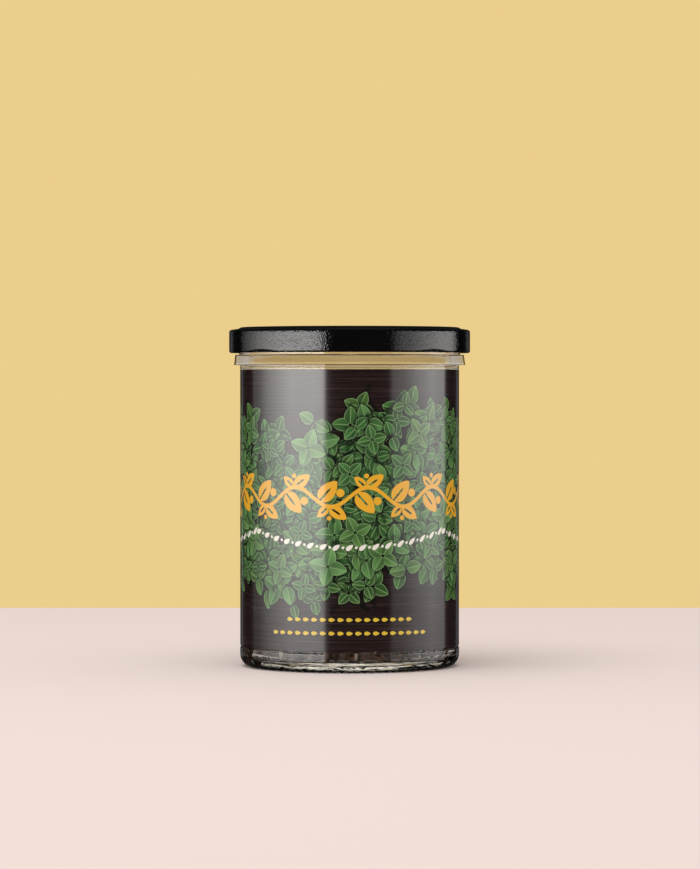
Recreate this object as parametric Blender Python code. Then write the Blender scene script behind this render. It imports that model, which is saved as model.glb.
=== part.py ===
"""Herb growing jar: a clear glass jar with a wrap label and growing medium, closed by a lugged twist-off lid.

Metres, +Z up. The origin is at the centre of the ring that the jar stands on. -Y is the front.
"""
import math

import bmesh
import bpy
from mathutils import Matrix, Vector, noise

# Heights above the surface that the jar stands on
HEEL_HEIGHT = 0.0042
PANEL_BOTTOM = 0.0070
PANEL_TOP = 0.1056
BEAD_BOTTOM = 0.1064
BEAD_TOP = 0.1106
FINISH_TOP = 0.1179
THROAT_TOP = 0.1046
THROAT_BOTTOM = 0.0970
PUSH_UP = 0.0020
FLOOR_MIDDLE = 0.0054
FLOOR_EDGE = 0.0036
MEDIUM_HEIGHT = 0.0700
LID_BOTTOM = 0.1110
LID_TOP = 0.1201

# Radii
BEARING_INNER = 0.0330
BEARING_OUTER = 0.0348
BODY_RADIUS = 0.03885
PANEL_RADIUS = 0.03830
INNER_RADIUS = 0.0360
INNER_HEEL = 0.0022
BEAD_RADIUS = 0.0410
BEAD_ROUND = 0.0009
NECK_RADIUS = 0.0392
THREAD_RADIUS = 0.0406
MOUTH_RADIUS = 0.0364
LIP_ROUND = 0.0011
INNER_LIP_ROUND = 0.0008
LID_RADIUS = 0.04275
LID_SHOULDER = 0.0009
PANEL_EDGE = 0.0352
RING_INNER = 0.0367
RING_OUTER = 0.0383
LINER_INNER = 0.0369
LINER_OUTER = 0.0393

# Small steps in the profiles
PANEL_STEP = 0.0005
UNDERSIDE_STEEPNESS = 6
RING_RISE = 0.0008
RING_SLOPE = 0.0012
LEDGE_DROP = 0.0006
SHOULDER_DROP = 0.0009
LINER_BEVEL = 0.0004

# Thin pieces and clearances
GAP = 0.0003
LABEL_THICKNESS = 0.00025
LABEL_MARGIN = 0.0005
SHEET = 0.0003
CURL_RADIUS = 0.0007

# Lugs of the lid and the glass threads that they turn under
LUGS = 4
FIRST_LUG = math.radians(-46.7)
LUG_HALF_ANGLE = math.radians(8.0)
LUG_FADE = math.radians(4.0)
LUG_REACH = 0.0399
LUG_DENT = 0.0003
LUG_TOP = 0.1126
LUG_EDGE = 0.0002
LEAD = 0.0019
THREAD_BEFORE_LUG = math.radians(20.0)
THREAD_AFTER_LUG = math.radians(45.0)
THREAD_HEIGHT = 0.0013
THREAD_BEVEL = 0.0003
THREAD_FADE = math.radians(7.0)
THREAD_END = 0.3
THREAD_ROOT = NECK_RADIUS - 0.0006

# How finely the round shapes are cut
SIDES = 96
MEDIUM_SIDES = 60
ARC_STEPS = 3
THREAD_STEPS = 16

# The label leaves this angle of glass bare at the back
LABEL_OPENING = math.radians(9.0)
BACK = math.radians(90.0)

# Crumbs on the surface of the growing medium
CRUMB_HEIGHT = 0.0011
CRUMB_SIZE = 0.0045
MEDIUM_RINGS = 8


def clear_scene():
    for thing in list(bpy.data.objects):
        bpy.data.objects.remove(thing, do_unlink=True)


def finish(name, colour, roughness, metallic=0.0, transmission=0.0, ior=1.5):
    """A Principled material with linear colour."""
    material = bpy.data.materials.new(name)
    material.use_nodes = True
    shader = material.node_tree.nodes["Principled BSDF"]
    shader.inputs["Base Color"].default_value = (*colour, 1.0)
    shader.inputs["Roughness"].default_value = roughness
    shader.inputs["Metallic"].default_value = metallic
    shader.inputs["Transmission Weight"].default_value = transmission
    shader.inputs["IOR"].default_value = ior
    return material


def arc(centre, radius, start, end, steps=ARC_STEPS):
    """Points (r, z) on an arc, both ends included. Angles are in degrees from the outward direction."""
    points = []
    for step in range(steps + 1):
        angle = math.radians(start + (end - start) * step / steps)
        points.append((centre[0] + radius * math.cos(angle), centre[1] + radius * math.sin(angle)))
    return points


def spun(outline, closed, sides, sweep=math.tau, start=0.0):
    """A bmesh turned from an outline of (r, z) points. An open outline begins and ends on the axis."""
    shape = bmesh.new()
    turn = Matrix.Rotation(start, 3, "Z")
    corners = [shape.verts.new(turn @ Vector((r, 0.0, z))) for r, z in outline]
    pairs = list(zip(corners, corners[1:]))
    if closed:
        pairs.append((corners[-1], corners[0]))
    edges = [shape.edges.new(pair) for pair in pairs]
    whole = abs(sweep - math.tau) < 1e-9
    bmesh.ops.spin(
        shape,
        geom=corners + edges,
        cent=(0.0, 0.0, 0.0),
        axis=(0.0, 0.0, 1.0),
        angle=sweep,
        steps=sides,
        use_merge=whole,
    )
    bmesh.ops.remove_doubles(shape, verts=shape.verts, dist=1e-6)
    if not whole:
        bmesh.ops.holes_fill(shape, edges=[edge for edge in shape.edges if edge.is_boundary])
    bmesh.ops.recalc_face_normals(shape, faces=shape.faces)
    return shape


def add_object(name, shape, material):
    """The bmesh as a named object at the origin, with smooth shading between gentle faces."""
    mesh = bpy.data.meshes.new(name)
    shape.to_mesh(mesh)
    shape.free()
    mesh.materials.append(material)
    mesh.shade_smooth()
    mesh.set_sharp_from_angle(angle=math.radians(35.0))
    item = bpy.data.objects.new(name, mesh)
    bpy.context.scene.collection.objects.link(item)
    return item


def inside_bottom(inset):
    """The inside of the base, from the middle of its domed floor out and up round the heel, moved inwards."""
    floor_radius = INNER_RADIUS - INNER_HEEL
    points = []
    for part in (0.0, 1 / 3, 2 / 3):
        height = FLOOR_MIDDLE + (FLOOR_EDGE - FLOOR_MIDDLE) * part ** 2
        points.append((floor_radius * part, height + inset))
    return points + arc((floor_radius, FLOOR_EDGE + INNER_HEEL), INNER_HEEL - inset, -90.0, 0.0)


def glass_outline():
    """The jar's wall from the middle of its underside, up the outside, over the lip and down inside."""
    underside = [
        (BEARING_INNER * part, PUSH_UP * (1.0 - part ** UNDERSIDE_STEEPNESS))
        for part in (0.0, 0.6, 0.8, 0.93, 1.0)
    ]
    heel = []
    for angle in (0.0, 22.5, 45.0, 67.5, 90.0):
        turn = math.radians(angle)
        heel.append((BEARING_OUTER + (BODY_RADIUS - BEARING_OUTER) * math.sin(turn),
                     HEEL_HEIGHT * (1.0 - math.cos(turn))))
    body = [
        (BODY_RADIUS, PANEL_BOTTOM - PANEL_STEP),
        (PANEL_RADIUS, PANEL_BOTTOM),
        (PANEL_RADIUS, PANEL_TOP),
        (BODY_RADIUS, PANEL_TOP + PANEL_STEP),
        (BODY_RADIUS, BEAD_BOTTOM),
    ]
    bead = arc((BEAD_RADIUS - BEAD_ROUND, BEAD_BOTTOM + BEAD_ROUND), BEAD_ROUND, -60.0, 0.0, 2)
    bead += arc((BEAD_RADIUS - BEAD_ROUND, BEAD_TOP - BEAD_ROUND), BEAD_ROUND, 0.0, 60.0, 2)
    lip = [(NECK_RADIUS, BEAD_TOP)]
    lip += arc((NECK_RADIUS - LIP_ROUND, FINISH_TOP - LIP_ROUND), LIP_ROUND, 0.0, 90.0)
    lip += arc((MOUTH_RADIUS + INNER_LIP_ROUND, FINISH_TOP - INNER_LIP_ROUND), INNER_LIP_ROUND, 90.0, 180.0, 2)
    inside = [(MOUTH_RADIUS, THROAT_TOP), (INNER_RADIUS, THROAT_BOTTOM)]
    return underside + heel + body + bead + lip + inside + inside_bottom(0.0)[::-1]


def thread_shape(lug_angle):
    """One sloping thread, with its root sunk in the neck, above the place of one lug."""
    below = LUG_TOP + GAP + LEAD * (LUG_HALF_ANGLE - THREAD_BEFORE_LUG)
    section = [
        (THREAD_ROOT, below),
        (THREAD_RADIUS, below + THREAD_BEVEL),
        (THREAD_RADIUS, below + THREAD_HEIGHT - THREAD_BEVEL),
        (THREAD_ROOT, below + THREAD_HEIGHT),
    ]
    sweep = THREAD_BEFORE_LUG + THREAD_AFTER_LUG
    first = lug_angle - THREAD_BEFORE_LUG
    shape = spun(section, True, THREAD_STEPS, sweep, first)
    for corner in shape.verts:
        radius = corner.co.xy.length
        along = (math.atan2(corner.co.y, corner.co.x) - first + math.pi) % math.tau - math.pi
        corner.co.z += LEAD * along
        end_fade = min(1.0, THREAD_END + min(along, sweep - along) / THREAD_FADE)
        if radius > NECK_RADIUS:
            corner.co.xy *= (NECK_RADIUS + (radius - NECK_RADIUS) * end_fade) / radius
    bmesh.ops.triangulate(shape, faces=shape.faces)
    return shape


def make_glass_jar():
    glass = finish("clear_glass", (0.94, 0.97, 0.95), 0.02, transmission=1.0)
    jar = add_object("glass_jar", spun(glass_outline(), False, SIDES), glass)
    threads = bpy.data.collections.new("threads")
    for lug in range(LUGS):
        lug_angle = FIRST_LUG + lug * math.tau / LUGS
        thread = add_object(f"thread_{lug}", thread_shape(lug_angle), glass)
        bpy.context.scene.collection.objects.unlink(thread)
        threads.objects.link(thread)
    join = jar.modifiers.new("threads", "BOOLEAN")
    join.operation = "UNION"
    join.operand_type = "COLLECTION"
    join.collection = threads
    graph = bpy.context.evaluated_depsgraph_get()
    joined = bpy.data.meshes.new_from_object(jar.evaluated_get(graph))
    jar.modifiers.clear()
    jar.data = joined
    joined.name = "glass_jar"
    for thread in list(threads.objects):
        bpy.data.objects.remove(thread, do_unlink=True)
    bpy.data.collections.remove(threads)
    return jar


def lid_outline():
    """The sheet metal lid from the middle of its top, down the skirt, round the curl and back inside."""
    panel = LID_TOP - RING_RISE
    ledge = LID_TOP - LEDGE_DROP
    shoulder_centre = (LID_RADIUS - LID_SHOULDER, LID_TOP - SHOULDER_DROP - LID_SHOULDER)
    top = [
        (0.0, panel),
        (PANEL_EDGE, panel),
        (RING_INNER, LID_TOP),
        (RING_OUTER, LID_TOP),
        (RING_OUTER + RING_SLOPE, ledge),
    ]
    shoulder = arc(shoulder_centre, LID_SHOULDER, 80.0, 0.0)
    curl = arc((LID_RADIUS - CURL_RADIUS, LID_BOTTOM + CURL_RADIUS), CURL_RADIUS, 0.0, -180.0, 4)
    curl_inside = LID_RADIUS - 2 * CURL_RADIUS
    inside = [
        (curl_inside, LUG_TOP - LUG_EDGE),
        (curl_inside + LUG_EDGE, LUG_TOP),
        (LID_RADIUS - SHEET, LUG_TOP + 2 * LUG_EDGE),
    ]
    inside += arc(shoulder_centre, LID_SHOULDER - SHEET, 0.0, 80.0, 2)
    inside += [(radius, height - SHEET) for radius, height in reversed(top)]
    return top + shoulder + curl + inside


def lug_strength(angle):
    """1 in the middle of a lug, fading to 0 beyond its sides."""
    pitch = math.tau / LUGS
    away = abs((angle - FIRST_LUG + pitch / 2) % pitch - pitch / 2)
    step = min(1.0, max(0.0, (LUG_HALF_ANGLE - away) / LUG_FADE))
    return step * step * (3.0 - 2.0 * step)


def make_lid():
    shape = spun(lid_outline(), False, SIDES)
    reach = LID_RADIUS - 2 * CURL_RADIUS - LUG_REACH
    for corner in shape.verts:
        radius = corner.co.xy.length
        if corner.co.z > LUG_TOP + LUG_EDGE or radius < NECK_RADIUS:
            continue
        strength = lug_strength(math.atan2(corner.co.y, corner.co.x))
        inner = min(1.0, (LID_RADIUS - radius) / CURL_RADIUS)
        shift = strength * (LUG_DENT + (reach - LUG_DENT) * inner)
        corner.co.xy *= (radius - shift) / radius
    bmesh.ops.triangulate(shape, faces=shape.faces)
    return add_object("lid", shape, finish("black_lacquered_steel", (0.006, 0.006, 0.007), 0.16))


def make_lid_liner():
    """The ring of sealing compound that the lid presses on the jar's lip."""
    bottom = FINISH_TOP + GAP
    top = LID_TOP - SHEET - GAP
    outline = [
        (LINER_INNER, bottom),
        (LINER_OUTER, bottom),
        (LINER_OUTER, bottom + LINER_BEVEL),
        (RING_OUTER, top),
        (LINER_INNER + LINER_BEVEL, top),
        (LINER_INNER, top - LINER_BEVEL),
    ]
    compound = finish("sealing_compound", (0.62, 0.60, 0.56), 0.55)
    return add_object("lid_liner", spun(outline, True, SIDES), compound)


def make_label():
    inner = BODY_RADIUS - LABEL_THICKNESS
    low = PANEL_BOTTOM + LABEL_MARGIN
    high = PANEL_TOP - LABEL_MARGIN
    outline = [(inner, low), (BODY_RADIUS, low), (BODY_RADIUS, high), (inner, high)]
    sweep = math.tau - LABEL_OPENING
    shape = spun(outline, True, round(SIDES * sweep / math.tau), sweep, BACK + LABEL_OPENING / 2)
    return add_object("label", shape, finish("printed_film", (0.05, 0.045, 0.03), 0.25))


def make_growing_medium():
    rim = INNER_RADIUS - GAP
    outline = inside_bottom(GAP)
    outline += [(rim * ring / MEDIUM_RINGS, MEDIUM_HEIGHT) for ring in range(MEDIUM_RINGS, -1, -1)]
    shape = spun(outline, False, MEDIUM_SIDES)
    for corner in shape.verts:
        if corner.co.z > MEDIUM_HEIGHT - GAP:
            corner.co.z += CRUMB_HEIGHT * noise.noise(corner.co / CRUMB_SIZE)
    bmesh.ops.triangulate(shape, faces=shape.faces)
    return add_object("growing_medium", shape, finish("growing_medium", (0.045, 0.028, 0.017), 0.95))


clear_scene()
make_glass_jar()
make_label()
make_growing_medium()
make_lid_liner()
make_lid()
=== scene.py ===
"""Looks of the herb growing jar: clear glass, black twist-off lid, printed wrap label and growing medium.

Metres, +Z up, -Y is the front. Every size comes from the loaded frame or from a named value below.
"""
import math

import bmesh
import bpy
from mathutils import Matrix, Vector, noise


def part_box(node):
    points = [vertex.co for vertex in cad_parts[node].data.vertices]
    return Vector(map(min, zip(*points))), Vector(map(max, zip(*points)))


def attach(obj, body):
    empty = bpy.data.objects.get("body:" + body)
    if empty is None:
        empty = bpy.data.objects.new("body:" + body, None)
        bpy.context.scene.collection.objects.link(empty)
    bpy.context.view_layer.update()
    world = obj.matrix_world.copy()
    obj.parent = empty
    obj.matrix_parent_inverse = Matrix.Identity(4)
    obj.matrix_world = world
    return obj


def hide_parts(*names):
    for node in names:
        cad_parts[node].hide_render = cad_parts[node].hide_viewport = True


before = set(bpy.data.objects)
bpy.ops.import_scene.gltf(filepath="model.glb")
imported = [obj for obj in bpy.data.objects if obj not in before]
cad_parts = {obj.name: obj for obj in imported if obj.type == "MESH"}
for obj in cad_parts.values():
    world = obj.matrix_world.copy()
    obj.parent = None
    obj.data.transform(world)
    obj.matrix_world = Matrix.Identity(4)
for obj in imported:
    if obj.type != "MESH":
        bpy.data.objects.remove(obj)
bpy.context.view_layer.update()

MM = 0.001
NEAR = 0.01 * MM

# Sizes read from the frame. The lid is a hair narrower than its solid, so rounding puts no point outside it
HAIR = 0.001 * MM
jar_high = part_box("glass_jar")[1]
lid_low, lid_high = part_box("lid")
label_low, label_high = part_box("label")
liner_low, liner_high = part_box("lid_liner")
BEAD_RADIUS = jar_high.x
FINISH_TOP = jar_high.z
LID_RADIUS = lid_high.x - HAIR
LID_BOTTOM = lid_low.z
LID_TOP = lid_high.z
LABEL_BOTTOM = label_low.z
LABEL_TOP = label_high.z

# Glass, as on the solid it replaces, with the wall at the bead leaning inwards as it does in the photo
BODY_RADIUS = 38.85 * MM
HEEL_HEIGHT = 4.2 * MM
PANEL_BOTTOM = 7.0 * MM
PANEL_TOP = 105.6 * MM
PANEL_RADIUS = 38.30 * MM
STEP_ROUND = 0.08 * MM
BEAD_BOTTOM = 106.75 * MM
BEAD_TOP = 110.3 * MM
BEAD_ROUND = 0.12 * MM
BEAD_SHOULDER = BEAD_TOP - BEAD_ROUND
WALL_LEAN = math.tan(math.radians(7.0))
THROAT_BOTTOM = 97.0 * MM
PUSH_UP = 2.0 * MM
FLOOR_MIDDLE = 5.4 * MM
FLOOR_EDGE = 3.6 * MM
BEARING_INNER = 33.0 * MM
BEARING_OUTER = 34.8 * MM
INNER_RADIUS = 36.0 * MM
INNER_HEEL = 2.2 * MM
NECK_RADIUS = 39.2 * MM
THREAD_RADIUS = 40.6 * MM
MOUTH_RADIUS = 36.4 * MM
LIP_ROUND = 1.1 * MM
RIBS = 84
RIB_DEPTH = 0.30 * MM
GLASS_SIDES = RIBS * 6

# Lugs, threads and sheet of the lid
LUGS = 4
FIRST_LUG = math.radians(-46.7)
LUG_HALF_ANGLE = math.radians(8.0)
LUG_FADE = math.radians(4.0)
LUG_REACH = 39.9 * MM
LUG_TOP = 112.6 * MM
DENT_HEIGHT = 1.25 * MM
DENT_HALF_ANGLE = math.radians(18.0)
DENT_SLOPE = 0.4
LEAD = 1.9 * MM
THREAD_BEFORE_LUG = math.radians(20.0)
THREAD_AFTER_LUG = math.radians(45.0)
THREAD_HEIGHT = 1.3 * MM
CLEARANCE = 0.3 * MM
SHEET = 0.3 * MM
CURL_RADIUS = 0.7 * MM
INNER_CURL = LID_RADIUS - 2 * CURL_RADIUS
SHOULDER = 0.9 * MM
PANEL_DROP = 0.8 * MM
PANEL_EDGE = 35.2 * MM
RING_INNER = 36.7 * MM
RING_OUTER = 38.3 * MM
LID_SIDES = 360

# Label and growing medium
FILM = 0.25 * MM
LABEL_OPENING = math.radians(9.0)
LABEL_SIDES = 300
MEDIUM_TOP = 70.0 * MM
MEDIUM_SIDES = 320

# Camera, fitted to the photograph: focal length in pixels of the 700 x 869 picture
FRAME_HEIGHT = 869
FOCAL_PIXELS = 3660.0
CAMERA_DISTANCE = 1.300
CAMERA_HEIGHT = 0.100
HORIZON_ROW = 384.0
CENTRE_COLUMN = 349.6
MIDDLE_COLUMN = 350.0


def linear(code):
    """An sRGB hex colour as linear red, green, blue and alpha."""
    parts = [int(code[place:place + 2], 16) / 255 for place in (1, 3, 5)]
    return (*[c / 12.92 if c <= 0.04045 else ((c + 0.055) / 1.055) ** 2.4 for c in parts], 1.0)


def add(tree, kind, *values, **settings):
    """Adds a node with its settings, and sets or links its inputs.

    Values go to the inputs in order, or from a dict by name or place. A node or a socket is linked.
    """
    node = tree.nodes.new(kind if kind.startswith("Node") else "ShaderNode" + kind)
    for name, setting in settings.items():
        setattr(node, name, setting)
    pairs = values[0].items() if values and isinstance(values[0], dict) else enumerate(values)
    for place, value in pairs:
        if isinstance(value, bpy.types.Node):
            value = next(output for output in value.outputs if output.enabled)
        if isinstance(value, bpy.types.NodeSocket):
            tree.links.new(value, node.inputs[place])
        else:
            node.inputs[place].default_value = value
    return node


def new_finish(name):
    """A material with its Principled shader, and its node tree."""
    material = bpy.data.materials.new(name)
    material.use_nodes = True
    tree = material.node_tree
    return material, tree, tree.nodes["Principled BSDF"]


def arc(centre, radius, start, end, steps):
    """Points (r, z) on an arc, both ends included. Angles are in degrees from the outward direction."""
    points = []
    for step in range(steps + 1):
        angle = math.radians(start + (end - start) * step / steps)
        points.append((centre[0] + radius * math.cos(angle), centre[1] + radius * math.sin(angle)))
    return points


def line(start, end, steps):
    """Points (r, z) on a straight line, both ends included."""
    return [
        (start[0] + (end[0] - start[0]) * step / steps, start[1] + (end[1] - start[1]) * step / steps)
        for step in range(steps + 1)
    ]


def smooth(value):
    """0 to 1 with level ends."""
    value = min(1.0, max(0.0, value))
    return value * value * (3.0 - 2.0 * value)


def turned(outline, closed, sides, sweep=math.tau, start=0.0):
    """A bmesh spun from an outline of (r, z) points. An open outline begins and ends on the axis."""
    shape = bmesh.new()
    turn = Matrix.Rotation(start, 3, "Z")
    corners = [shape.verts.new(turn @ Vector((r, 0.0, z))) for r, z in outline]
    pairs = list(zip(corners, corners[1:]))
    if closed:
        pairs.append((corners[-1], corners[0]))
    edges = [shape.edges.new(pair) for pair in pairs]
    whole = abs(sweep - math.tau) < 1e-9
    bmesh.ops.spin(
        shape,
        geom=corners + edges,
        cent=(0.0, 0.0, 0.0),
        axis=(0.0, 0.0, 1.0),
        angle=sweep,
        steps=sides,
        use_merge=whole,
    )
    bmesh.ops.remove_doubles(shape, verts=shape.verts, dist=1e-7)
    if not whole:
        bmesh.ops.holes_fill(shape, edges=[edge for edge in shape.edges if edge.is_boundary])
    bmesh.ops.recalc_face_normals(shape, faces=shape.faces)
    return shape


def piece(name, shape, material, body, replaced, sharp=40.0):
    """The bmesh as a finished piece that rides on its body and stands for its node."""
    mesh = bpy.data.meshes.new(name)
    shape.to_mesh(mesh)
    shape.free()
    mesh.materials.append(material)
    mesh.shade_smooth()
    mesh.set_sharp_from_angle(angle=math.radians(sharp))
    item = bpy.data.objects.new(name, mesh)
    bpy.context.scene.collection.objects.link(item)
    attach(item, body)
    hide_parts(replaced)
    return item


def underside_and_heel():
    """The pushed-up underside from its middle, the flat standing ring, and the heel up to the body."""
    points = []
    steps = 16
    ring_edge = 0.12 * MM
    for step in range(steps + 1):
        part = step / steps
        flare = part ** 6
        points.append((BEARING_INNER * part, PUSH_UP * (1.0 - flare) + ring_edge * flare))
    eased = 0.4 * MM
    flat_start = 0.9 * MM
    flat_end = 0.5 * MM
    points.append((BEARING_INNER + eased, 0.02 * MM))
    points.append((BEARING_INNER + flat_start, 0.0))
    points.append((BEARING_OUTER - flat_end, 0.0))
    heel_steps = 12
    for step in range(heel_steps + 1):
        turn = math.radians(90.0 * step / heel_steps)
        outwards = (BODY_RADIUS - BEARING_OUTER) * math.sin(turn)
        points.append((BEARING_OUTER + outwards, HEEL_HEIGHT * (1.0 - math.cos(turn))))
    return points


def collar_and_bead():
    """The steps at both ends of the label panel, the leaning collar, and the bead with its leaning band."""
    step_depth = BODY_RADIUS - PANEL_RADIUS
    corner = STEP_ROUND
    collar = BODY_RADIUS - WALL_LEAN * (BEAD_BOTTOM - PANEL_TOP - 4 * corner)
    points = arc((BODY_RADIUS - step_depth, PANEL_BOTTOM - step_depth), step_depth, 0.0, 90.0, 5)
    points += arc((BODY_RADIUS - corner, PANEL_TOP + corner), corner, -90.0, 0.0, 3)
    points += line((BODY_RADIUS, PANEL_TOP + 2 * corner), (collar, BEAD_BOTTOM - 2 * corner), 6)
    points += arc((collar + corner, BEAD_BOTTOM - corner), corner, 180.0, 90.0, 3)
    band_low = BEAD_BOTTOM + corner
    band_top_radius = BEAD_RADIUS - WALL_LEAN * (BEAD_SHOULDER - band_low)
    inset = 0.03 * MM
    points += arc((BEAD_RADIUS - corner, band_low), corner, -90.0, 0.0, 3)
    points += line((BEAD_RADIUS, band_low + inset), (band_top_radius, BEAD_SHOULDER - inset), 12)
    points += arc((band_top_radius - BEAD_ROUND, BEAD_SHOULDER), BEAD_ROUND, 0.0, 90.0, 4)
    points += arc((NECK_RADIUS + corner, BEAD_TOP + corner), corner, -90.0, -180.0, 3)
    return points


def neck_and_throat():
    """Up the neck, over the lip and down inside, along the leaning band and out to the body."""
    neck_start = BEAD_TOP + 0.3 * MM
    neck_end = FINISH_TOP - LIP_ROUND - 0.2 * MM
    points = line((NECK_RADIUS, neck_start), (NECK_RADIUS, neck_end), 36)
    points += arc((NECK_RADIUS - LIP_ROUND, FINISH_TOP - LIP_ROUND), LIP_ROUND, 0.0, 90.0, 8)
    inner_lip = LIP_ROUND * 0.7
    points += arc((MOUTH_RADIUS + inner_lip, FINISH_TOP - inner_lip), inner_lip, 90.0, 180.0, 6)
    straight_top = FINISH_TOP - 2.0 * MM
    straight_end = BEAD_TOP + 2.2 * MM
    points += line((MOUTH_RADIUS, straight_top), (MOUTH_RADIUS, straight_end), 3)
    narrowest = MOUTH_RADIUS - WALL_LEAN * (BEAD_SHOULDER - BEAD_BOTTOM)
    widest = MOUTH_RADIUS + WALL_LEAN * (BEAD_BOTTOM - PANEL_TOP)
    points += line((narrowest, neck_start), (narrowest, BEAD_SHOULDER + 0.1 * MM), 2)
    points += line((narrowest, BEAD_SHOULDER), (widest, PANEL_TOP), 16)
    steps = 8
    for step in range(1, steps + 1):
        part = step / steps
        radius = widest + (INNER_RADIUS - widest) * smooth(part)
        points.append((radius, PANEL_TOP + (THROAT_BOTTOM - PANEL_TOP) * part))
    return points


def inside_bottom(inset, steps):
    """The inside of the base, from the middle of its domed floor out and up the heel, moved inwards."""
    floor_radius = INNER_RADIUS - INNER_HEEL
    points = []
    for step in range(steps):
        part = step / steps
        height = FLOOR_MIDDLE + (FLOOR_EDGE - FLOOR_MIDDLE) * part ** 2
        points.append((floor_radius * part, height + inset))
    return points + arc((floor_radius, FLOOR_EDGE + INNER_HEEL), INNER_HEEL - inset, -90.0, 0.0, 10)


def thread_rise(angle, height):
    """How far the glass stands out of the neck there, from 0 to 1."""
    lower_flank = 0.35 * MM
    upper_flank = 0.45 * MM
    end_fade = math.radians(7.0)
    sweep = THREAD_BEFORE_LUG + THREAD_AFTER_LUG
    below = LUG_TOP + CLEARANCE + LEAD * (LUG_HALF_ANGLE - THREAD_BEFORE_LUG)
    rise = 0.0
    for lug in range(LUGS):
        first = FIRST_LUG + lug * math.tau / LUGS - THREAD_BEFORE_LUG
        along = (angle - first) % math.tau
        if along > sweep:
            continue
        up = height - below - LEAD * along
        across = smooth(up / lower_flank) * smooth((THREAD_HEIGHT - up) / upper_flank)
        rise = max(rise, across * smooth(min(along, sweep - along) / end_fade))
    return rise


def make_glass_jar(material):
    """The jar, with threads raised on its neck and knurls cut into its standing ring."""
    outline = underside_and_heel() + collar_and_bead() + neck_and_throat() + inside_bottom(0.0, 16)[::-1]
    shape = turned(outline, False, GLASS_SIDES)
    threads_bottom = BEAD_TOP + 0.6 * MM
    rib_top = 0.9 * MM
    inner_fade = 0.6 * MM
    upper_fade = 0.8 * MM
    for corner in shape.verts:
        radius = corner.co.xy.length
        angle = math.atan2(corner.co.y, corner.co.x)
        height = corner.co.z
        if height > threads_bottom and radius > NECK_RADIUS - NEAR:
            rise = (THREAD_RADIUS - NECK_RADIUS) * thread_rise(angle, height)
            corner.co.xy *= (radius + rise) / radius
        elif BEARING_INNER < radius and height < rib_top:
            valley = 0.5 - 0.5 * math.cos(RIBS * angle)
            fade = smooth((radius - BEARING_INNER) / inner_fade) * smooth((rib_top - height) / upper_fade)
            corner.co.z += RIB_DEPTH * valley * fade
    return piece("clear_glass_jar", shape, material, "jar", "glass_jar")


def lid_top(lower):
    """The top's profile from its middle outwards, lowered by the sheet's thickness for the inside."""
    panel = LID_TOP - PANEL_DROP
    ledge = LID_TOP - 0.6 * MM
    ledge_width = 1.6 * MM
    steps = 8
    points = [(radius * MM, panel - lower) for radius in (0.0, 6.0, 14.0, 22.0, 28.0, 32.0, 33.6)]
    for step in range(steps + 1):
        part = step / steps
        height = panel + (LID_TOP - panel) * smooth(part)
        points.append((PANEL_EDGE + (RING_INNER - PANEL_EDGE) * part, height - lower))
    for step in range(steps + 1):
        part = step / steps
        height = LID_TOP - (LID_TOP - ledge) * smooth(part)
        points.append((RING_OUTER + ledge_width * part, height - lower))
    return points


def lid_outline():
    """The sheet from the middle of the top, down the skirt, round the curl and back inside."""
    shoulder_centre = (LID_RADIUS - SHOULDER, LID_TOP - 0.9 * MM - SHOULDER)
    shoulder_start = 84.0
    curl_centre = (LID_RADIUS - CURL_RADIUS, LID_BOTTOM + CURL_RADIUS)
    skirt_top = shoulder_centre[1] - 0.6 * MM
    plain_end = LID_BOTTOM + 2.2 * MM
    dents_top = LID_BOTTOM + 2.0 * MM
    dents_end = LID_BOTTOM + CURL_RADIUS + 0.1 * MM
    points = lid_top(0.0) + arc(shoulder_centre, SHOULDER, shoulder_start, 0.0, 10)
    points += line((LID_RADIUS, skirt_top), (LID_RADIUS, plain_end), 4)
    points += line((LID_RADIUS, dents_top), (LID_RADIUS, dents_end), 10)
    points += arc(curl_centre, CURL_RADIUS, 0.0, -180.0, 14)
    curl_inside = LID_BOTTOM + 0.85 * MM
    curl_end = LUG_TOP - 0.2 * MM
    tuck = 0.2 * MM
    tuck_rise = 0.4 * MM
    points += line((INNER_CURL, curl_inside), (INNER_CURL, curl_end), 3)
    points += [(INNER_CURL + tuck, LUG_TOP), (LID_RADIUS - SHEET, LUG_TOP + tuck_rise)]
    points += arc(shoulder_centre, SHOULDER - SHEET, 0.0, shoulder_start, 6)
    return points + lid_top(SHEET)[::-1]


def lug_strength(angle, half, fade):
    """1 in the middle of a lug, fading to 0 at its sides."""
    pitch = math.tau / LUGS
    away = abs((angle - FIRST_LUG + pitch / 2) % pitch - pitch / 2)
    return smooth((half - away) / fade)


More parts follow.
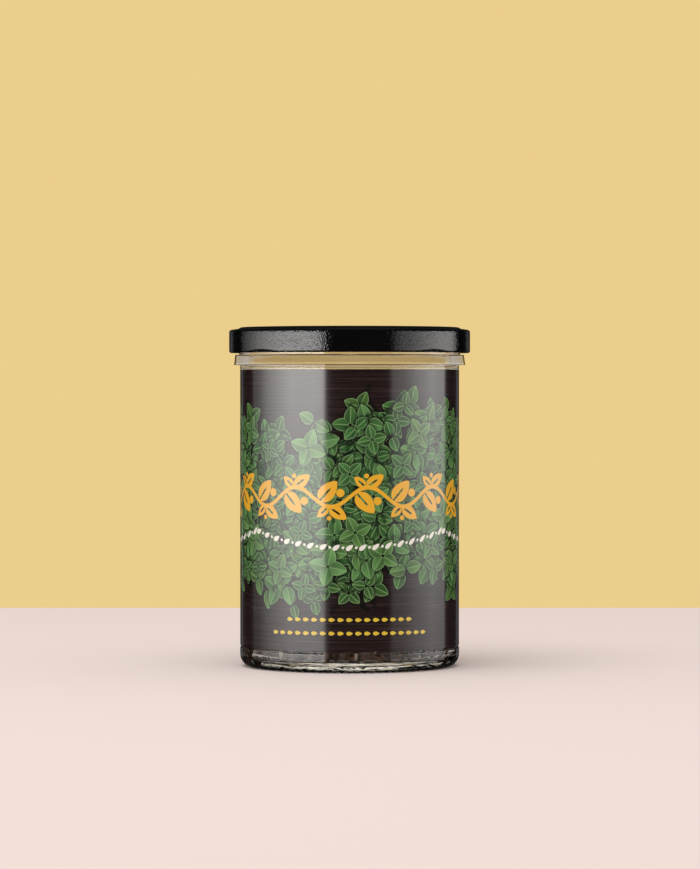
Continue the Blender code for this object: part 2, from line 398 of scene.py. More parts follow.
def make_lid(material):
    """Each lug is the curl pressed inwards, which leaves a shallow arched dent low in the skirt."""
    shape = turned(lid_outline(), False, LID_SIDES)
    shape.normal_update()
    pressed_height = LID_BOTTOM + 3.0 * MM
    lining_bottom = LUG_TOP - 0.05 * MM
    facing_up = 0.05
    lining = shape.verts.layers.float.new("inside")
    for corner in shape.verts:
        radius = corner.co.xy.length
        angle = math.atan2(corner.co.y, corner.co.x)
        within = radius < LID_RADIUS - SHEET / 2 and corner.co.z > lining_bottom
        corner[lining] = float(within and corner.normal.z < facing_up)
        if radius < NECK_RADIUS or corner.co.z > pressed_height:
            continue
        reach = lug_strength(angle, LUG_HALF_ANGLE, LUG_FADE)
        inward = smooth((LID_RADIUS - radius) / CURL_RADIUS)
        shift = (INNER_CURL - LUG_REACH) * reach * inward if corner.co.z < LUG_TOP + NEAR else 0.0
        dent_top = LID_BOTTOM + DENT_HEIGHT * lug_strength(angle, DENT_HALF_ANGLE, DENT_HALF_ANGLE)
        shift += DENT_SLOPE * max(0.0, dent_top - corner.co.z) * (1.0 - inward)
        corner.co.xy *= (radius - shift) / radius
    return piece("black_twist_lid", shape, material, "lid_shell", "lid", sharp=60.0)


def make_lid_liner(material):
    """The ring of flowed-in compound, a low rounded bead under the lid's channel."""
    bottom = liner_low.z
    top = liner_high.z
    inner = RING_INNER + 0.2 * MM
    outer = liner_high.x
    middle = (inner + outer) / 2
    sides = 25
    squareness = 0.6
    top_narrowing = 0.22
    outline = []
    for side in range(sides):
        turn = math.tau * side / sides
        wide = (outer - inner) / 2 * math.copysign(abs(math.cos(turn)) ** squareness, math.cos(turn))
        tall = (top - bottom) / 2 * math.copysign(abs(math.sin(turn)) ** squareness, math.sin(turn))
        shrink = 1.0 - top_narrowing * smooth(tall / (top - bottom) * 2)
        outline.append((middle + wide * shrink, (top + bottom) / 2 + tall))
    ring = turned(outline, True, 180)
    return piece("lid_sealing_ring", ring, material, "lid_carrier", "lid_liner")


def make_label(material):
    """The printed film, open at the back, with its place on the flat sheet kept in millimetres."""
    inner = BODY_RADIUS - FILM
    edge = FILM * 0.25
    outline = line((BODY_RADIUS, LABEL_BOTTOM + edge), (BODY_RADIUS, LABEL_TOP - edge), 24)
    outline += [(BODY_RADIUS - edge, LABEL_TOP), (inner, LABEL_TOP)]
    outline += [(inner, LABEL_BOTTOM), (BODY_RADIUS - edge, LABEL_BOTTOM)]
    start = math.pi / 2 + LABEL_OPENING / 2
    shape = turned(outline, True, LABEL_SIDES, math.tau - LABEL_OPENING, start)
    flat = shape.verts.layers.float_vector.new("flat_mm")
    back = shape.verts.layers.float.new("back")
    for corner in shape.verts:
        angle = math.atan2(corner.co.x, -corner.co.y)
        corner[flat] = (angle * BODY_RADIUS / MM, corner.co.z / MM, 0.0)
        corner[back] = float(corner.co.xy.length < BODY_RADIUS - FILM / 2)
    return piece("wrap_label", shape, material, "jar", "label")


def make_growing_medium(material):
    """Crumbly fill: moist lumps wet the glass, with hollows between them, and crumbs lie on top."""
    pressed_in = 0.04 * MM
    edge = 0.9 * MM
    lump_size = 1.7 * MM
    crumb_size = 1.1 * MM
    heap_size = 4.5 * MM
    wall = INNER_RADIUS + pressed_in
    outline = inside_bottom(-pressed_in, 24)
    outline += line((wall, outline[-1][1] + edge), (wall, MEDIUM_TOP - edge), 60)
    outline += line((wall, MEDIUM_TOP), (0.0, MEDIUM_TOP), 40)
    shape = turned(outline, False, MEDIUM_SIDES)
    shape.normal_update()
    for corner in shape.verts:
        lumps = noise.cell_vector(corner.co / lump_size).x
        crumbs = noise.fractal(corner.co / crumb_size, 0.6, 2.1, 3)
        heaps = noise.noise(corner.co / heap_size)
        hollow = 0.35 * MM * max(0.0, lumps - 0.6)
        hollow += 0.8 * MM * max(0.0, -0.22 - crumbs)
        hollow += 0.6 * MM * max(0.0, -0.2 - heaps)
        if corner.co.z > MEDIUM_TOP - NEAR:
            corner.co.z += 0.9 * MM * heaps + 0.45 * MM * crumbs - 0.3 * MM
        else:
            corner.co -= corner.normal * hollow
    node = slot = "growing_medium"
    return piece("growing_medium_fill", shape, material, "jar", node, sharp=180.0)


def glass_finish():
    """Soda-lime container glass, pressed and fire-polished: clear, faintly green and slightly wavy.

    A painted tone runs up the neck: painted shade darkens the bead's band and the collar under it,
    and a painted highlight makes a clear line along the band's lower edge. Its heights are in millimetres.
    """
    material, tree, shader = new_finish("soda_lime_glass")
    shader.inputs["Transmission Weight"].default_value = 1.0
    shader.inputs["IOR"].default_value = 1.5
    place = add(tree, "TexCoord").outputs["Object"]
    low, high = 105.0 * MM, 111.0 * MM
    up = add(tree, "MapRange", add(tree, "SeparateXYZ", place).outputs["Z"], low, high)
    tone = add(tree, "ValToRGB", up)
    tone.color_ramp.elements[0].color = linear("#E9ECEA")
    tone.color_ramp.elements[1].color = linear("#ECE9E4")
    # Painted shade on the collar and on the bead's band, and a painted highlight line along the band's
    # lower edge
    for start, end, colour in (
        (105.3, 106.85, "#E6E3DF"),
        (106.95, 107.4, "#FCFAF7"),
        (107.6, 110.0, "#E0DDD9"),
        (110.2, None, "#ECE9E4"),
    ):
        for height in (start, end):
            if height:
                tone.color_ramp.elements.new((height * MM - low) / (high - low)).color = linear(colour)
    tree.links.new(tone.outputs[0], shader.inputs["Base Color"])
    wave_size = 14 * MM
    smear_size = 22 * MM
    waves = add(tree, "TexNoise", {"Vector": place, "Scale": 1 / wave_size, "Detail": 1.0})
    smears = add(tree, "TexNoise", {"Vector": place, "Scale": 1 / smear_size, "Detail": 4.0})
    handled = add(tree, "MapRange", smears, 0.35, 0.75, 0.0, 0.035)
    bump = add(tree, "Bump", {"Strength": 0.35, "Distance": 0.25 * MM, "Height": waves})
    tree.links.new(handled.outputs[0], shader.inputs["Roughness"])
    tree.links.new(bump.outputs[0], shader.inputs["Normal"])
    return material


def lacquer_finish():
    """Black baked lacquer on tinplate, roller-coated: a deep gloss whose highlights fray at their edges.

    The orange peel that frays them is drawn about twice as coarse as it is, because its real grain
    is finer than a pixel. The inside of the lid is lacquered cream.
    """
    material, tree, shader = new_finish("black_baked_lacquer")
    shader.inputs["IOR"].default_value = 1.43
    peel_size = 0.55 * MM
    roller_length = 25 * MM
    roller_width = 2 / 9 * MM
    wear_size = 9 * MM
    place = add(tree, "TexCoord").outputs["Object"]
    peel = add(tree, "TexNoise", {"Vector": place, "Scale": 1 / peel_size, "Detail": 0.0})
    roller_scale = (1 / roller_length, 1 / roller_length, 1 / roller_width)
    stretched = add(tree, "Mapping", {"Vector": place, "Scale": roller_scale})
    rolled = add(tree, "TexNoise", {"Vector": stretched, "Scale": 1.0, "Detail": 2.0})
    faint = add(tree, "Math", rolled, 0.35, operation="MULTIPLY")
    relief = add(tree, "Math", peel, faint, operation="ADD")
    bump = add(tree, "Bump", {"Strength": 1.0, "Distance": 0.055 * MM, "Height": relief})
    worn = add(tree, "TexNoise", {"Vector": place, "Scale": 1 / wear_size, "Detail": 5.0})
    black = add(tree, "Mix", {0: worn, 6: linear("#060607"), 7: linear("#0D0D0E")}, data_type="RGBA")
    lining = add(tree, "Attribute", attribute_name="inside").outputs["Fac"]
    tone = add(tree, "Mix", {0: lining, 6: black.outputs[2], 7: linear("#D6C9A6")}, data_type="RGBA")
    gloss = add(tree, "MapRange", worn, 0.3, 0.8, 0.03, 0.07)
    tree.links.new(tone.outputs[2], shader.inputs["Base Color"])
    tree.links.new(gloss.outputs[0], shader.inputs["Roughness"])
    tree.links.new(bump.outputs[0], shader.inputs["Normal"])
    return material


def compound_finish():
    """Flowed-in plastisol sealing compound: off-white and satin, with the faint pits of a cured paste."""
    material, tree, shader = new_finish("plastisol_compound")
    mottle_size = 3 * MM
    pit_size = 0.4 * MM
    place = add(tree, "TexCoord").outputs["Object"]
    mottle = add(tree, "TexNoise", {"Vector": place, "Scale": 1 / mottle_size, "Detail": 4.0})
    tone = add(tree, "Mix", {0: mottle, 6: linear("#BDB8AE"), 7: linear("#D3CFC6")}, data_type="RGBA")
    pits = add(tree, "TexNoise", {"Vector": place, "Scale": 1 / pit_size})
    bump = add(tree, "Bump", {"Strength": 0.2, "Distance": 0.05 * MM, "Height": pits})
    shader.inputs["Roughness"].default_value = 0.5
    tree.links.new(tone.outputs[2], shader.inputs["Base Color"])
    tree.links.new(bump.outputs[0], shader.inputs["Normal"])
    return material


def medium_finish():
    """Moist coir and peat: matt dark brown crumbs and red-brown fibres, with a few pale grains."""
    material, tree, shader = new_finish("coir_and_peat")
    crumb_size = 1.6 * MM
    fibre_length = 10 / 3 * MM
    fibre_width = 5 / 11 * MM
    grit_size = 0.35 * MM
    place = add(tree, "TexCoord").outputs["Object"]
    crumbs = add(tree, "TexVoronoi", {"Vector": place, "Scale": 1 / crumb_size})
    tint = add(tree, "SeparateColor", crumbs.outputs["Color"])
    brown = add(tree, "ValToRGB", tint.outputs[0])
    brown.color_ramp.elements[0].color = linear("#1B120C")
    brown.color_ramp.elements[1].color = linear("#6A4730")
    brown.color_ramp.elements.new(0.55).color = linear("#38251A")
    fibre_place = add(tree, "Mapping", {
        "Vector": place,
        "Rotation": (0.4, 0.7, 0.3),
        "Scale": (1 / fibre_length, 1 / fibre_length, 1 / fibre_width),
    })
    fibres = add(tree, "TexNoise", {"Vector": fibre_place, "Scale": 1.0, "Detail": 3.0, "Distortion": 1.2})
    on_fibre = add(tree, "MapRange", fibres, 0.62, 0.68)
    fibrous = add(tree, "Mix", {0: on_fibre, 6: brown.outputs[0], 7: linear("#7A4E2E")}, data_type="RGBA")
    grains = add(tree, "MapRange", tint.outputs[1], 0.965, 0.97)
    colour = add(tree, "Mix", {0: grains, 6: fibrous.outputs[2], 7: linear("#C9BFA9")}, data_type="RGBA")
    grit = add(tree, "TexNoise", {"Vector": place, "Scale": 1 / grit_size, "Detail": 4.0})
    bump = add(tree, "Bump", {"Strength": 0.8, "Distance": 0.3 * MM, "Height": grit})
    shader.inputs["Roughness"].default_value = 0.92
    tree.links.new(colour.outputs[2], shader.inputs["Base Color"])
    tree.links.new(bump.outputs[0], shader.inputs["Normal"])
    return material


def leaf_group():
    """A leaf along X from its stalk at 0, in mm: how far inside its edge, and the place in it.

    Its half width follows a sine over its length. One power moves the widest part, the other fills it out.
    """
    widest_part = 0.72
    fullness = 0.66
    group = bpy.data.node_groups.new("leaf", "ShaderNodeTree")
    group.interface.new_socket("Place", in_out="INPUT", socket_type="NodeSocketVector")
    for name in ("Length", "Width"):
        group.interface.new_socket(name, in_out="INPUT", socket_type="NodeSocketFloat")
    for name in ("Inside", "Along", "Across"):
        group.interface.new_socket(name, in_out="OUTPUT", socket_type="NodeSocketFloat")
    given = add(group, "NodeGroupInput")
    place = add(group, "SeparateXYZ", given.outputs["Place"])
    length = given.outputs["Length"]
    along = add(group, "Math", place.outputs["X"], length, operation="DIVIDE", use_clamp=True)
    eased = add(group, "Math", along, widest_part, operation="POWER")
    half_turn = add(group, "Math", eased, math.pi, operation="MULTIPLY")
    bulge = add(group, "Math", add(group, "Math", half_turn, operation="SINE"), 0.0, operation="MAXIMUM")
    fuller = add(group, "Math", bulge, fullness, operation="POWER")
    half_width = add(group, "Math", given.outputs["Width"], 0.5, operation="MULTIPLY")
    edge = add(group, "Math", fuller, half_width, operation="MULTIPLY")
    across = add(group, "Math", place.outputs["Y"], operation="ABSOLUTE")
    inside = add(group, "Math", edge, across, operation="SUBTRACT")
    add(group, "NodeGroupOutput", inside, along, place.outputs["Y"])
    return group


def whorl_group(leaf):
    """Leaves round scattered stalks, turned and sized by chance, in a garland round the jar."""
    stalk_gap = 0.5
    smallest = 0.62
    garland_height = 58.5
    garland_swing = 4.0
    garland_wave = 17.0
    garland_half = (25.0, 34.0)
    far_outside = -50.0
    group = bpy.data.node_groups.new("leaf_whorls", "ShaderNodeTree")
    group.interface.new_socket("Place", in_out="INPUT", socket_type="NodeSocketVector")
    for name in ("Tilt", "Cell", "Leaves", "Length", "Width"):
        group.interface.new_socket(name, in_out="INPUT", socket_type="NodeSocketFloat")
    for name in ("Inside", "Along", "Across", "Chance", "Hue"):
        group.interface.new_socket(name, in_out="OUTPUT", socket_type="NodeSocketFloat")
    given = add(group, "NodeGroupInput").outputs
    cell = given["Cell"]

    # The nearest stalk on a loose grid, and the place as seen from it
    tilted = {"Vector": given["Place"], "Angle": given["Tilt"]}
    grid = add(group, "VectorRotate", tilted, rotation_type="Z_AXIS")
    per_cell = add(group, "Math", 1.0, cell, operation="DIVIDE")
    cells = add(group, "VectorMath", {"Vector": grid, "Scale": per_cell}, operation="SCALE")
    loose = {"Vector": cells, "Scale": 1.0, "Randomness": 0.25}
    stalks = add(group, "TexVoronoi", loose, voronoi_dimensions="2D")
    chance = add(group, "SeparateColor", stalks.outputs["Color"])
    from_stalk = add(group, "VectorMath", cells, stalks.outputs["Position"], operation="SUBTRACT")
    local = add(group, "VectorMath", {"Vector": from_stalk, "Scale": cell}, operation="SCALE")

    # The place folded into one slice of the whorl, which holds one leaf
    flat = add(group, "SeparateXYZ", local)
    angle = add(group, "Math", flat.outputs["Y"], flat.outputs["X"], operation="ARCTAN2")
    spin = add(group, "Math", chance.outputs[0], math.tau, operation="MULTIPLY")
    turned_angle = add(group, "Math", angle, spin, operation="ADD")
    half_slice = add(group, "Math", math.pi, given["Leaves"], operation="DIVIDE")
    other_side = add(group, "Math", half_slice, -1.0, operation="MULTIPLY")
    folded = add(group, "Math", turned_angle, half_slice, other_side, operation="WRAP")
    reach = add(group, "VectorMath", local, operation="LENGTH").outputs["Value"]
    cosine = add(group, "Math", folded, operation="COSINE")
    sine = add(group, "Math", folded, operation="SINE")
    out = add(group, "Math", reach, cosine, operation="MULTIPLY")
    past_stalk = add(group, "Math", out, stalk_gap, operation="SUBTRACT")
    side = add(group, "Math", reach, sine, operation="MULTIPLY")
    in_leaf = add(group, "CombineXYZ", past_stalk, side, 0.0)
    size = add(group, "MapRange", chance.outputs[1], 0.0, 1.0, smallest, 1.0)
    length = add(group, "Math", given["Length"], size, operation="MULTIPLY")
    width = add(group, "Math", given["Width"], size, operation="MULTIPLY")
    blade = add(group, "Group", {"Place": in_leaf, "Length": length, "Width": width}, node_tree=leaf)

    # Whorls whose stalk stands outside the garland are left out
    back_turn = add(group, "Math", given["Tilt"], -1.0, operation="MULTIPLY")
    in_mm = {"Vector": stalks.outputs["Position"], "Scale": cell}
    centre = add(group, "VectorMath", in_mm, operation="SCALE")
    stalk = add(group, "VectorRotate", {"Vector": centre, "Angle": back_turn}, rotation_type="Z_AXIS")
    at = add(group, "SeparateXYZ", stalk)
    wave = add(group, "Math", at.outputs["X"], 1 / garland_wave, operation="MULTIPLY")
    swing = add(group, "Math", wave, operation="SINE")
    middle = add(group, "Math", swing, garland_swing, garland_height, operation="MULTIPLY_ADD")
    away = add(group, "Math", at.outputs["Y"], middle, operation="SUBTRACT")
    far = add(group, "Math", away, operation="ABSOLUTE")
    ragged = add(group, "MapRange", chance.outputs[2], 0.0, 1.0, *garland_half)
    kept = add(group, "Math", far, ragged, operation="LESS_THAN")
    gone = add(group, "Math", 1.0, kept, operation="SUBTRACT")
    hidden = add(group, "Math", gone, far_outside, blade.outputs["Inside"], operation="MULTIPLY_ADD")
    along, across = blade.outputs["Along"], blade.outputs["Across"]
    add(group, "NodeGroupOutput", hidden, along, across, chance.outputs[1], chance.outputs[2])
    return group


def printed_leaves(tree, place, ground, whorls):
    """Layers of printed leaves over the ground, deep ones dark and top ones light. Gives the colour.

    Each leaf has a soft shadow round it, one darker half, a dark root, fine veins, a light rim and a rib.
    """
    leaves_in_whorl = (4, 5, 3, 4, 2, 4, 3, 2, 4)
    vein_slant = -5.5
    vein_pitch = 6.3
    colour = ground
    for layer, leaf_count in enumerate(leaves_in_whorl):
        height = layer / (len(leaves_in_whorl) - 1)
        leaves = add(tree, "Group", {
            "Place": place,
            "Tilt": 0.45 * layer + 0.2,
            "Cell": 15.0 - 1.0 * height,
            "Leaves": leaf_count,
            "Length": 7.6 - 1.2 * height,
            "Width": 6.0 - 1.0 * height,
        }, node_tree=whorls)
        inside, along, across, chance, hue = leaves.outputs
        shade = add(tree, "MapRange", inside, -1.4, 0.0, 0.0, 0.7, interpolation_type="SMOOTHSTEP")
        shaded = add(tree, "Mix", {0: shade, 6: colour, 7: linear("#0C130D")}, data_type="RGBA")

        tone = add(tree, "MapRange", chance, 0.0, 1.0, 0.35 * height, 0.55 + 0.40 * height)
        blade = add(tree, "ValToRGB", tone)
        blade.color_ramp.elements[0].color = linear("#1B3B20")
        blade.color_ramp.elements[1].color = linear("#6FA262")
        blade.color_ramp.elements.new(0.5).color = linear("#356B34")
        drawn = blade.outputs[0]
        from_rib = add(tree, "Math", across, operation="ABSOLUTE")
        slant = add(tree, "Math", along, vein_slant, from_rib, operation="MULTIPLY_ADD")
        stripes = add(tree, "Math", slant, vein_pitch, operation="MULTIPLY")
        vein = add(tree, "Math", stripes, operation="SINE")
        for source, start, end, weak, strong, ink in (
            (hue, 0.35, 1.0, 0.0, 0.45, "#5F7F35"),
            (across, -0.3, 0.3, 0.0, 0.45, "#16331C"),
            (along, 0.0, 0.7, 0.55, 0.0, "#16331C"),
            (vein, 0.55, 1.0, 0.0, 0.22, "#93BC80"),
            (inside, 0.15, 0.50, 0.50, 0.0, "#A2C590"),
            (from_rib, 0.08, 0.22, 0.6, 0.0, "#8FB97B"),
        ):
            amount = add(tree, "MapRange", source, start, end, weak, strong)
            drawn = add(tree, "Mix", {0: amount, 6: drawn, 7: linear(ink)}, data_type="RGBA").outputs[2]
        mask = add(tree, "MapRange", inside, 0.0, 0.18)
        colour = add(tree, "Mix", {0: mask, 6: shaded.outputs[2], 7: drawn}, data_type="RGBA").outputs[2]
    return colour


def scroll_inside(tree, flat, leaf):
    """A scroll round the jar: how far inside its waving stem, slit leaves and berries, in mm."""
    level = 61.0
    bend = 13.0
    swing = 3.4
    stem_half_width = 0.85
    slit_half_width = 0.28
    slit_end = (0.55, 0.8)
    turn = add(tree, "Math", flat.outputs["X"], math.pi / bend, operation="MULTIPLY")
    wave = add(tree, "Math", turn, operation="SINE")
    up = add(tree, "Math", flat.outputs["Y"], level, operation="SUBTRACT")
    over_stem = add(tree, "Math", wave, -swing, up, operation="MULTIPLY_ADD")
    from_stem = add(tree, "Math", over_stem, operation="ABSOLUTE")
    inside = add(tree, "Math", stem_half_width, from_stem, operation="SUBTRACT")
    side = add(tree, "Math", wave, operation="SIGN")
    in_bend = add(tree, "CombineXYZ", {
        0: add(tree, "Math", flat.outputs["X"], bend, 0.0, operation="WRAP"),
        1: add(tree, "Math", up, side, operation="MULTIPLY"),
    })
    for root, lean, length, width in (
        ((2.6, 1.2, 0.0), 48.0, 9.0, 5.8),
        ((6.2, 3.6, 0.0), -35.0, 7.0, 4.4),
        ((5.4, 3.6, 0.0), -138.0, 5.0, 3.2),
    ):
        from_root = add(tree, "VectorMath", in_bend, root, operation="SUBTRACT")
        leaning = {"Vector": from_root, "Angle": math.radians(lean)}
        along_leaf = add(tree, "VectorRotate", leaning, rotation_type="Z_AXIS")
        blade = add(tree, "Group", {"Place": along_leaf, "Length": length, "Width": width}, node_tree=leaf)
        from_rib = add(tree, "Math", blade.outputs["Across"], operation="ABSOLUTE")
        past_end = add(tree, "MapRange", blade.outputs["Along"], *slit_end, 0.0, 1.0)
        slit = add(tree, "Math", slit_half_width, past_end, operation="SUBTRACT")
        beside_slit = add(tree, "Math", from_rib, slit, operation="SUBTRACT")
        slit_blade = add(tree, "Math", blade.outputs["Inside"], beside_slit, operation="MINIMUM")
        inside = add(tree, "Math", inside, slit_blade, operation="MAXIMUM")
    for centre, radius in (((9.8, -1.4, 0.0), 1.5), ((5.9, 7.3, 0.0), 0.9)):
        away = add(tree, "VectorMath", in_bend, centre, operation="DISTANCE")
        berry = add(tree, "Math", radius, away.outputs["Value"], operation="SUBTRACT")
        inside = add(tree, "Math", inside, berry, operation="MAXIMUM")
    return inside


def swag_inside(tree, flat, leaf):
    """Swags of leaflets and dots, each hung between points 76 mm apart: how far inside one, in mm."""
    half_span = 38.0
    sag = 5.5
    lowest = 43.5
    pitch = 4.6
    leaflet_root = (-1.2, -0.9, 0.0)
    leaflet_lean = math.radians(-38.0)
    dot_radius = 0.55
    along = add(tree, "Math", flat.outputs["X"], half_span, -half_span, operation="WRAP")
    square = add(tree, "Math", along, along, operation="MULTIPLY")
    hang = add(tree, "Math", square, sag / half_span ** 2, lowest, operation="MULTIPLY_ADD")
    up = add(tree, "Math", flat.outputs["Y"], hang, operation="SUBTRACT")
    step = add(tree, "Math", along, pitch / 2, -pitch / 2, operation="WRAP")
    place = add(tree, "CombineXYZ", step, up, 0.0)
    from_root = add(tree, "VectorMath", place, leaflet_root, operation="SUBTRACT")
    leaning = {"Vector": from_root, "Angle": leaflet_lean}
    along_leaflet = add(tree, "VectorRotate", leaning, rotation_type="Z_AXIS")
    leaflet = add(tree, "Group", {"Place": along_leaflet, "Length": 3.1, "Width": 1.7}, node_tree=leaf)
    away = add(tree, "VectorMath", place, (pitch / 2, 0.0, 0.0), operation="DISTANCE")
    other = add(tree, "VectorMath", place, (-pitch / 2, 0.0, 0.0), operation="DISTANCE")
    nearest = add(tree, "Math", away.outputs["Value"], other.outputs["Value"], operation="MINIMUM")
    dot = add(tree, "Math", dot_radius, nearest, operation="SUBTRACT")
    return add(tree, "Math", leaflet.outputs["Inside"], dot, operation="MAXIMUM")


def lozenges_inside(tree, flat, leaf):
    """Two short rows of small lozenges low on the front: how far inside one, in mm."""
    pitch = 3.1
    length = 2.3
    width = 1.5
    rows = None
    for height, half_length in ((18.6, 23.25), (13.9, 29.45)):
        step = add(tree, "Math", flat.outputs["X"], pitch / 2, -pitch / 2, operation="WRAP")
        place = add(tree, "CombineXYZ", {
            0: add(tree, "Math", step, length / 2, operation="ADD"),
            1: add(tree, "Math", flat.outputs["Y"], height, operation="SUBTRACT"),
        })
        lozenge = add(tree, "Group", {"Place": place, "Length": length, "Width": width}, node_tree=leaf)
        sideways = add(tree, "Math", flat.outputs["X"], operation="ABSOLUTE")
        in_row = add(tree, "Math", half_length, sideways, operation="SUBTRACT")
        row = add(tree, "Math", lozenge.outputs["Inside"], in_row, operation="MINIMUM")
        rows = add(tree, "Math", rows, row, operation="MAXIMUM") if rows else row
    return rows


def label_finish():
    """Gloss-laminated polypropylene film, printed with dark boards, leaves, and yellow and white ornament.

    The laminate gives the print a clear reflection. Patterns are measured on the flat sheet, in mm.
    """
    material, tree, shader = new_finish("printed_gloss_film")
    grain_length, grain_width = 45, 0.7
    scratch_length, scratch_width = 22, 0.35
    place = add(tree, "Attribute", attribute_name="flat_mm").outputs["Vector"]
    grain_place = add(tree, "Mapping", {"Vector": place, "Scale": (1 / grain_length, 1 / grain_width, 1.0)})
    grain = add(tree, "TexNoise", {"Vector": grain_place, "Scale": 1.0, "Detail": 5.0, "Roughness": 0.6})
    board = add(tree, "ValToRGB", grain)
    board.color_ramp.elements[0].position = 0.30
    board.color_ramp.elements[0].color = linear("#161010")
    board.color_ramp.elements[1].position = 0.72
    board.color_ramp.elements[1].color = linear("#3D3030")
    board.color_ramp.elements.new(0.5).color = linear("#271C1D")
    scratch_scale = (1 / scratch_length, 1 / scratch_width, 1.0)
    scratch_place = add(tree, "Mapping", {"Vector": place, "Scale": scratch_scale})
    scratches = add(tree, "TexNoise", {"Vector": scratch_place, "Scale": 1.0, "Detail": 2.0})
    worn = add(tree, "MapRange", scratches, 0.66, 0.74, 0.0, 0.5)
    ground = add(tree, "Mix", {0: worn, 6: board.outputs[0], 7: linear("#6E605D")}, data_type="RGBA")
    leaf = leaf_group()
    colour = printed_leaves(tree, place, ground.outputs[2], whorl_group(leaf))
    flat = add(tree, "SeparateXYZ", place)
    for inside, ink in (
        (swag_inside(tree, flat, leaf), "#F1EFE8"),
        (scroll_inside(tree, flat, leaf), "#EDB233"),
        (lozenges_inside(tree, flat, leaf), "#E5C545"),
    ):
        mask = add(tree, "MapRange", inside, 0.0, 0.15)
        colour = add(tree, "Mix", {0: mask, 6: colour, 7: linear(ink)}, data_type="RGBA").outputs[2]
    back = add(tree, "Attribute", attribute_name="back").outputs["Fac"]
    colour = add(tree, "Mix", {0: back, 6: colour, 7: linear("#E4D9BC")}, data_type="RGBA").outputs[2]
    shader.inputs["IOR"].default_value = 1.5
    shader.inputs["Roughness"].default_value = 0.14
    tree.links.new(colour, shader.inputs["Base Color"])
    return material


def make_floor():
    """A plain matt pale worktop that ends a little behind the jar."""
    half_width, half_depth, far_edge = 4.0, 2.2, 0.334
    shape = bmesh.new()
    bmesh.ops.create_grid(shape, x_segments=1, y_segments=1, size=1.0)
    bmesh.ops.scale(shape, vec=(half_width, half_depth, 1.0), verts=shape.verts)
    bmesh.ops.translate(shape, vec=(0.0, far_edge - half_depth, 0.0), verts=shape.verts)
    mesh = bpy.data.meshes.new("floor")
    shape.to_mesh(mesh)
    shape.free()
    material, _, shader = new_finish("pale_worktop")
    shader.inputs["Base Color"].default_value = linear("#E2D5D2")
    shader.inputs["Roughness"].default_value = 0.6
    shader.inputs["Specular IOR Level"].default_value = 0.0
    mesh.materials.append(material)
    floor = bpy.data.objects.new("floor", mesh)
    bpy.context.scene.collection.objects.link(floor)
    floor.visible_glossy = False


def softbox_glow(name, curve):
    """Light along the softbox as its curve says, dimmer towards its foot and faded out at its top."""
    first, last = curve[0][0], curve[-1][0]
    foot, full = -0.02, 0.12
    foot_light = 0.38
    fade_start, fade_end = 0.135, 0.17
    top_light = 0.15
    material = bpy.data.materials.new(name)
    material.use_nodes = True
    tree = material.node_tree
    tree.nodes.clear()
    place = add(tree, "SeparateXYZ", add(tree, "TexCoord").outputs["Object"])
    back = add(tree, "Math", place.outputs["Y"], -1.0, operation="MULTIPLY")
    angle = add(tree, "Math", place.outputs["X"], back, operation="ARCTAN2")
    along = add(tree, "MapRange", angle, math.radians(first), math.radians(last))
    level = add(tree, "FloatCurve", 1.0, along)
    points = level.mapping.curves[0].points
    brightest = max(strength for _, strength in curve)
    while len(points) < len(curve):
        points.new(0.5, 0.5)
    for point, (turn, strength) in zip(points, curve):
        point.location = ((turn - first) / (last - first), strength / brightest)
        point.handle_type = "VECTOR"
    level.mapping.update()
    rise = add(tree, "MapRange", place.outputs["Z"], foot, full, foot_light, 1.0)
    fade = add(tree, "MapRange", place.outputs["Z"], fade_start, fade_end, 1.0, top_light)
    fall = add(tree, "Math", rise, fade, operation="MULTIPLY")
    share = add(tree, "Math", level, fall, operation="MULTIPLY")
    shine = add(tree, "Math", share, brightest, operation="MULTIPLY")
    glow = add(tree, "Emission", {"Color": linear("#FFFDFB"), "Strength": shine})
    add(tree, "OutputMaterial", glow)
    return material


def make_softbox(name, curve):
    """A tall curved softbox beside the jar, seen only as a reflection.

    Its curve gives pairs of an angle, in degrees from the front to the right, and a strength there.
    """
    radius = 0.45
    low, high = -0.10, 0.17
    steps = 48
    first, last = curve[0][0], curve[-1][0]
    shape = bmesh.new()
    for step in range(steps + 1):
        angle = math.radians(first + (last - first) * step / steps)
        place = Vector((radius * math.sin(angle), -radius * math.cos(angle), 0.0))
        shape.verts.new(place + Vector((0.0, 0.0, low)))
        shape.verts.new(place + Vector((0.0, 0.0, high)))
    shape.verts.ensure_lookup_table()
    for step in range(steps):
        shape.faces.new([shape.verts[2 * step + place] for place in (0, 2, 3, 1)])
    mesh = bpy.data.meshes.new(name)
    shape.to_mesh(mesh)
    shape.free()
    mesh.materials.append(softbox_glow(name, curve))
    card = bpy.data.objects.new(name, mesh)
    bpy.context.scene.collection.objects.link(card)
    card.visible_camera = False
    card.visible_diffuse = False
    card.visible_transmission = False
    card.visible_shadow = False


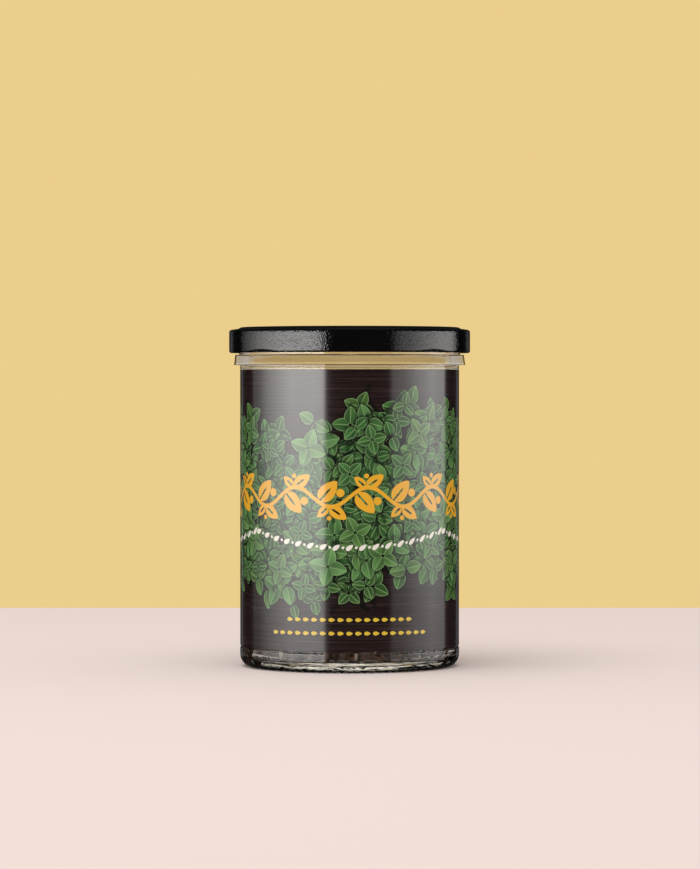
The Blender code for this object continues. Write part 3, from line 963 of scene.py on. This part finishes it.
def make_surround():
    """The room: a yellow wall behind the jar, an even light on matt surfaces, and little for the gloss.

    Places are parts of the direction that is looked in, from -1 to 1 along X, Y and Z.
    """
    wall_top = (0.025, 0.06)
    room_middle = (0.25, 0.40)
    strip_place, strip_half_width = 0.915, 0.025
    strip_end = (0.10, 0.16)
    ceiling_start = (0.80, 0.98)
    world = bpy.data.worlds.new("studio")
    world.use_nodes = True
    tree = world.node_tree
    tree.nodes.clear()
    path = add(tree, "LightPath")
    toward = add(tree, "SeparateXYZ", add(tree, "TexCoord").outputs["Generated"])

    # The camera sees the wall. Through the glass a pale room shows above it, dimmer at both sides
    above_wall = add(tree, "MapRange", toward.outputs["Z"], *wall_top)
    not_direct = add(tree, "Math", 1.0, path.outputs["Is Camera Ray"], operation="SUBTRACT")
    past_wall = add(tree, "Math", above_wall, not_direct, operation="MULTIPLY")
    sideways = add(tree, "Math", toward.outputs["X"], operation="ABSOLUTE")
    straight = add(tree, "MapRange", sideways, *room_middle, 1.0, 0.0)
    wall, room = linear("#EBCE8C"), linear("#FFF6E8")
    seen_colour = add(tree, "Mix", {0: past_wall, 6: wall, 7: room}, data_type="RGBA")
    gain = add(tree, "Math", straight, 0.5, -0.35, operation="MULTIPLY_ADD")
    brightness = add(tree, "Math", past_wall, gain, 1.0, operation="MULTIPLY_ADD")
    seen = add(tree, "Background", {"Color": seen_colour.outputs[2], "Strength": brightness})
    even = add(tree, "Background", {"Color": linear("#FFFAF2"), "Strength": 0.75})

    # The gloss mirrors a near-black room with a low strip at the back, which rims the lid, and a ceiling
    behind = add(tree, "Math", toward.outputs["Y"], strip_place, strip_half_width, operation="COMPARE")
    tilt = add(tree, "Math", toward.outputs["Z"], operation="ABSOLUTE")
    level_part = add(tree, "MapRange", tilt, *strip_end, 1.0, 0.0)
    rim = add(tree, "Math", behind, level_part, operation="MULTIPLY")
    rim_light = add(tree, "Math", rim, 0.22, 0.02, operation="MULTIPLY_ADD")
    ceiling = add(tree, "MapRange", toward.outputs["Z"], *ceiling_start, 0.0, 0.3)
    gloss_light = add(tree, "Math", rim_light, ceiling, operation="ADD")
    mirrored_light = add(tree, "Background", {"Color": linear("#E4E8EE"), "Strength": gloss_light})

    # A ray through the glass counts as glossy too, so it is taken off
    glossy = path.outputs["Is Glossy Ray"]
    only_mirrored = add(tree, "Math", glossy, path.outputs["Is Transmission Ray"], operation="SUBTRACT")
    mirrored = add(tree, "Math", only_mirrored, 0.0, operation="MAXIMUM")
    lit = add(tree, "MixShader", path.outputs["Is Diffuse Ray"], seen, even)
    shown = add(tree, "MixShader", mirrored, lit, mirrored_light)
    add(tree, "OutputWorld", shown)
    bpy.context.scene.world = world


def make_lamps():
    """A weak softbox overhead for the soft shadow, and one at each side for the highlights."""
    lamp = bpy.data.lights.new("overhead_softbox", "AREA")
    lamp.shape = "RECTANGLE"
    lamp.size = 1.2
    lamp.size_y = 1.0
    lamp.energy = 9.0
    light = bpy.data.objects.new("overhead_softbox", lamp)
    bpy.context.scene.collection.objects.link(light)
    light.location = (-0.25, -0.45, 1.3)
    toward_jar = Vector((0.25, 0.45, -1.25))
    light.rotation_euler = toward_jar.to_track_quat("-Z", "Y").to_euler()
    light.visible_glossy = False
    make_softbox("left_softbox", (
        (-137, 0.0), (-118.5, 0.0), (-117, 0.6), (-110, 0.8), (-103, 1.4), (-86, 4.6), (-62, 9.2),
        (-37, 9.8), (-25.5, 9.4), (-24, 0.3), (-20, 0.2),
    ))
    make_softbox("right_softbox", (
        (40, 0.1), (42, 0.3), (43, 1.6), (56, 2.2), (72, 4.0), (92, 4.8), (106, 3.2), (114, 2.8),
        (116, 0.0), (137, 0.0),
    ))


def make_camera():
    """The photograph's view: a long lens, level with the jar's upper part."""
    data = bpy.data.cameras.new("camera")
    data.sensor_width = 36.0
    data.lens = FOCAL_PIXELS * data.sensor_width / FRAME_HEIGHT
    data.clip_start = 0.01
    camera = bpy.data.objects.new("camera", data)
    bpy.context.scene.collection.objects.link(camera)
    sideways = (MIDDLE_COLUMN - CENTRE_COLUMN) * CAMERA_DISTANCE / FOCAL_PIXELS
    camera.location = (sideways, -CAMERA_DISTANCE, CAMERA_HEIGHT)
    dip = math.atan((FRAME_HEIGHT / 2 - HORIZON_ROW) / FOCAL_PIXELS)
    camera.rotation_euler = (math.pi / 2 - dip, 0.0, 0.0)
    bpy.context.scene.camera = camera


make_camera()
make_surround()
make_lamps()
make_floor()
make_glass_jar(glass_finish())
make_lid(lacquer_finish())
make_lid_liner(compound_finish())
make_label(label_finish())
make_growing_medium(medium_finish())
bpy.context.scene.view_settings.view_transform = "Standard"
